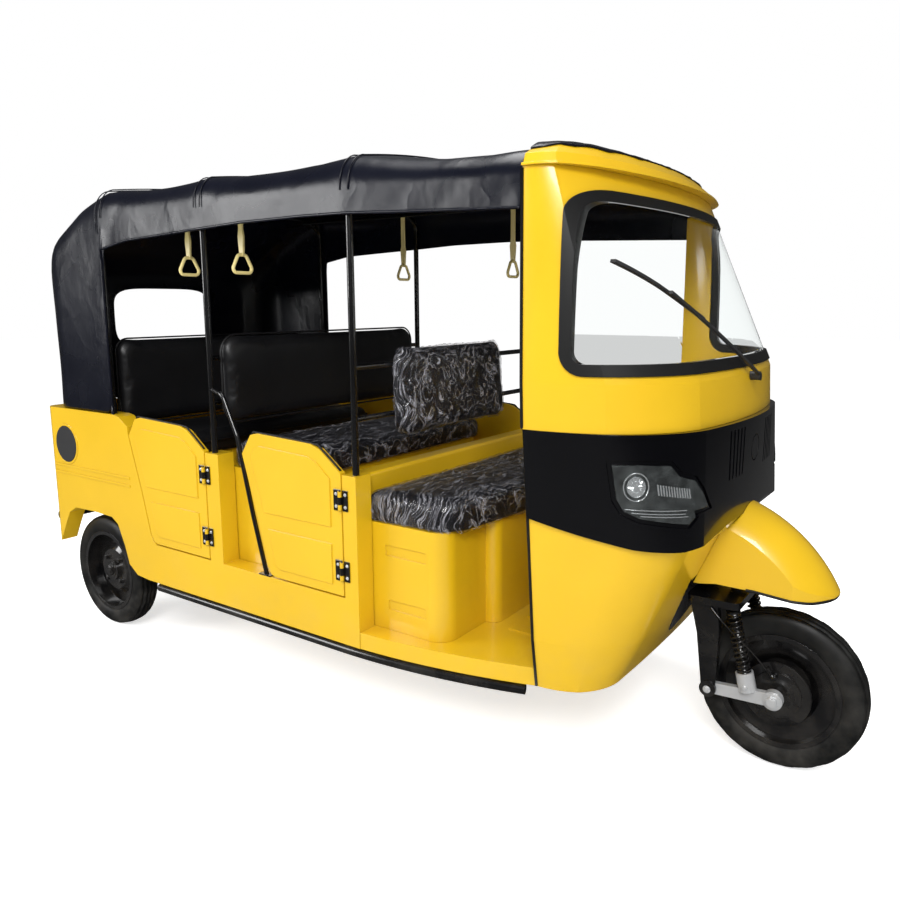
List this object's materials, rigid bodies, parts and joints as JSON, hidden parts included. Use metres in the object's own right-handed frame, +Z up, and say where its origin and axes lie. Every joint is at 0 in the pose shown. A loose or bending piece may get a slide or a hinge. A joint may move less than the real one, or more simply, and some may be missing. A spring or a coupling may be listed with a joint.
{
  "type": "auto rickshaw",
  "caption": "Yellow passenger auto rickshaw with a black canopy, glazed cab, half doors and padded benches",
  "frame": {"origin": "on the ground, at the middle of the length and the width", "axes": "X runs forward towards the steered wheel, Y to the left, Z up"},
  "size_m": [3.2618, 1.25, 1.8579],
  "materials": {
    "black_paint": "gloss black enamel",
    "yellow_paint": "warm yellow gloss paint",
    "black_plastic": "fine grained",
    "red_lens": "ribbed red lens",
    "black_rubber": "moulded",
    "clear_glass": "clear laminated",
    "black_gloss": "piano black",
    "lamp_lens": "clear lens over a silvered bowl",
    "canopy_vinyl": "blue-black coated vinyl, soft sheen",
    "handle_plastic": "moulded, pale yellow",
    "seat_vinyl": "black vinyl",
    "spring_steel": "dark spring steel",
    "cast_metal": "as cast",
    "bright_metal": "bright cast",
    "tyre_rubber": "road tyre",
    "rim_paint": "gloss black enamel"
  },
  "bodies": {
    "root": {"chassis_frame": "black_paint", "floor_pan": "yellow_paint", "side_bodies": "yellow_paint", "side_caps": "black_plastic", "tail_panel": "yellow_paint", "tail_lamps": "red_lens", "cab_cowl": "yellow_paint", "cab_upper": "yellow_paint", "cab_roof": "yellow_paint", "windshield_seal": "black_rubber", "windshield_glass": "clear_glass", "front_fascia": "black_gloss", "headlamps": "lamp_lens", "front_fender": "yellow_paint", "wiper": "black_plastic", "dashboard": "black_plastic", "roof_frame": "black_paint", "canopy_roof": "canopy_vinyl", "canopy_rear": "canopy_vinyl", "strap_handles": "handle_plastic", "partition": "yellow_paint", "bench_bases": "yellow_paint", "driver_cushion": "seat_vinyl", "driver_back_pad": "seat_vinyl", "passenger_cushions": "seat_vinyl", "passenger_backrests": "seat_vinyl", "rear_axle": "black_paint", "leaf_springs": "spring_steel", "engine_block": "cast_metal", "door_hinges": "black_paint"},
    "steering": {"fork": "black_paint", "fork_links": "bright_metal", "front_shocks": "black_paint", "front_brake": "black_paint", "handlebar": "black_paint"},
    "front_wheel": {"front_tyre": "tyre_rubber", "front_rim": "rim_paint"},
    "rear_wheel_right": {"rear_tyre_right": "tyre_rubber", "rear_rim_right": "rim_paint"},
    "rear_wheel_left": {"rear_tyre_left": "tyre_rubber", "rear_rim_left": "rim_paint"},
    "rear_right_door": {"door_rear_right": "yellow_paint"},
    "front_right_door": {"door_front_right": "yellow_paint"},
    "rear_left_door": {"door_rear_left": "yellow_paint"},
    "front_left_door": {"door_front_left": "yellow_paint"}
  },
  "joints": [
    {"name": "steer", "type": "hinge", "parent": "root", "child": "steering", "pos_m": [1.1354, 0, 0.75], "axis": [-0.4226, 0, 0.9063], "range_deg": [-38, 38]},
    {"name": "front_wheel_spin", "type": "hinge", "parent": "steering", "child": "front_wheel", "pos_m": [1.389, 0, 0.242], "axis": [0, 1, 0], "continuous": true},
    {"name": "rear_wheel_right_spin", "type": "hinge", "parent": "root", "child": "rear_wheel_right", "pos_m": [-1.276, -0.504, 0.242], "axis": [0, 1, 0], "continuous": true},
    {"name": "rear_wheel_left_spin", "type": "hinge", "parent": "root", "child": "rear_wheel_left", "pos_m": [-1.276, 0.504, 0.242], "axis": [0, 1, 0], "continuous": true},
    {"name": "rear_right_door_swing", "type": "hinge", "parent": "root", "child": "rear_right_door", "pos_m": [-0.482, -0.619, 0.66], "axis": [0, 0, 1], "range_deg": [0, 90]},
    {"name": "front_right_door_swing", "type": "hinge", "parent": "root", "child": "front_right_door", "pos_m": [0.188, -0.619, 0.66], "axis": [0, 0, 1], "range_deg": [0, 90]},
    {"name": "rear_left_door_swing", "type": "hinge", "parent": "root", "child": "rear_left_door", "pos_m": [-0.482, 0.619, 0.66], "axis": [0, 0, -1], "range_deg": [0, 90]},
    {"name": "front_left_door_swing", "type": "hinge", "parent": "root", "child": "front_left_door", "pos_m": [0.188, 0.619, 0.66], "axis": [0, 0, -1], "range_deg": [0, 90]}
  ]
}
